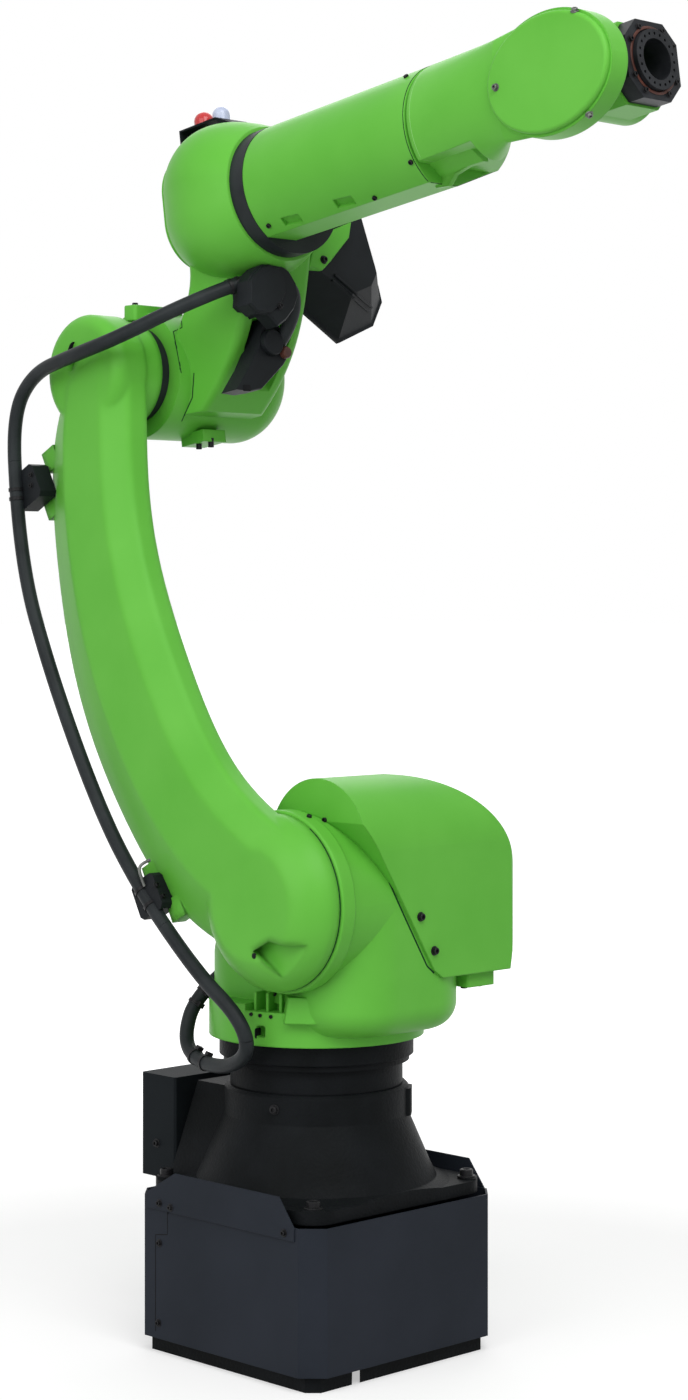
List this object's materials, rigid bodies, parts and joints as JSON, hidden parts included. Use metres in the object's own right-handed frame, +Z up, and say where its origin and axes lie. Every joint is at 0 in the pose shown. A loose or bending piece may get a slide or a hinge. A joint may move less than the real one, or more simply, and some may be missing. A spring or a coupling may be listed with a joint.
{
  "type": "industrial robot arm",
  "caption": "Floor-standing jointed robot arm with a curved side-mounted lower arm, hollow wrist, outside hose and square sensor pedestal.",
  "frame": {"origin": "on the floor, in the middle of the base plate's underside, under the first axis", "axes": "+Z up along the first axis, +X the way the arm reaches, -Y towards the side that carries the lower arm"},
  "size_m": [1.0978, 0.514, 1.8056],
  "materials": {
    "green_paint": "satin",
    "panel_grey": "satin",
    "cast_black": "rough satin paint",
    "box_black": "satin",
    "black_plastic": "matt",
    "hose_rubber": "satin",
    "red_lens": "gloss",
    "clear_lens": "gloss, milky",
    "dark_steel": "blackened"
  },
  "bodies": {
    "base": {"base_plate": "cast_black", "sensor_core": "cast_black", "skirt": "panel_grey", "flap_left": "panel_grey", "flap_right": "panel_grey", "base_casting": "cast_black", "connector_box": "box_black", "ring_fixed": "cast_black"},
    "turret": {"ring_turning": "cast_black", "turret": "green_paint", "j2_flange": "green_paint", "motor_hood": "green_paint", "hose_loop": "hose_rubber"},
    "lower_arm": {"lower_arm": "green_paint", "hose_arm": "hose_rubber", "clamp_top": "black_plastic", "clamp_low": "black_plastic"},
    "elbow": {"elbow": "green_paint", "elbow_seal": "hose_rubber", "rear_cover": "green_paint", "j4_ring": "hose_rubber", "motor_cover": "black_plastic", "lamp_bracket": "box_black", "red_lamp": "red_lens", "clear_lamp": "clear_lens", "hose_guide": "black_plastic", "connector_block": "black_plastic", "hose_elbow": "hose_rubber"},
    "forearm": {"forearm_rear": "green_paint", "forearm_front": "green_paint", "under_cover": "green_paint", "wrist_cover": "green_paint"},
    "wrist": {"wrist_housing": "green_paint", "gearbox": "dark_steel"},
    "tool": {"tool_flange": "dark_steel"}
  },
  "joints": [
    {"name": "J1", "type": "hinge", "parent": "base", "child": "turret", "pos_m": [0, 0, 0.41], "axis": [0, 0, 1], "range_deg": [-185, 185]},
    {"name": "J2", "type": "hinge", "parent": "turret", "child": "lower_arm", "pos_m": [0.075, 0, 0.647], "axis": [0, 1, 0], "range_deg": [-47, 118], "deforming": ["hose_loop"]},
    {"name": "J3", "type": "hinge", "parent": "lower_arm", "child": "elbow", "pos_m": [-0.31845, 0, 1.38916], "axis": [0, -1, 0], "range_deg": [-60, 150], "deforming": ["hose_elbow"]},
    {"name": "J4", "type": "hinge", "parent": "elbow", "child": "forearm", "pos_m": [-0.34917, 0, 1.60195], "axis": [0.9897, 0, 0.1429], "range_deg": [-200, 200]},
    {"name": "J5", "type": "hinge", "parent": "forearm", "child": "wrist", "pos_m": [0.5317, 0, 1.72912], "axis": [0, -1, 0], "range_deg": [-110, 110]},
    {"name": "J6", "type": "hinge", "parent": "wrist", "child": "tool", "pos_m": [0.62077, 0, 1.74198], "axis": [0.9897, 0, 0.1429], "range_deg": [-450, 450]}
  ]
}
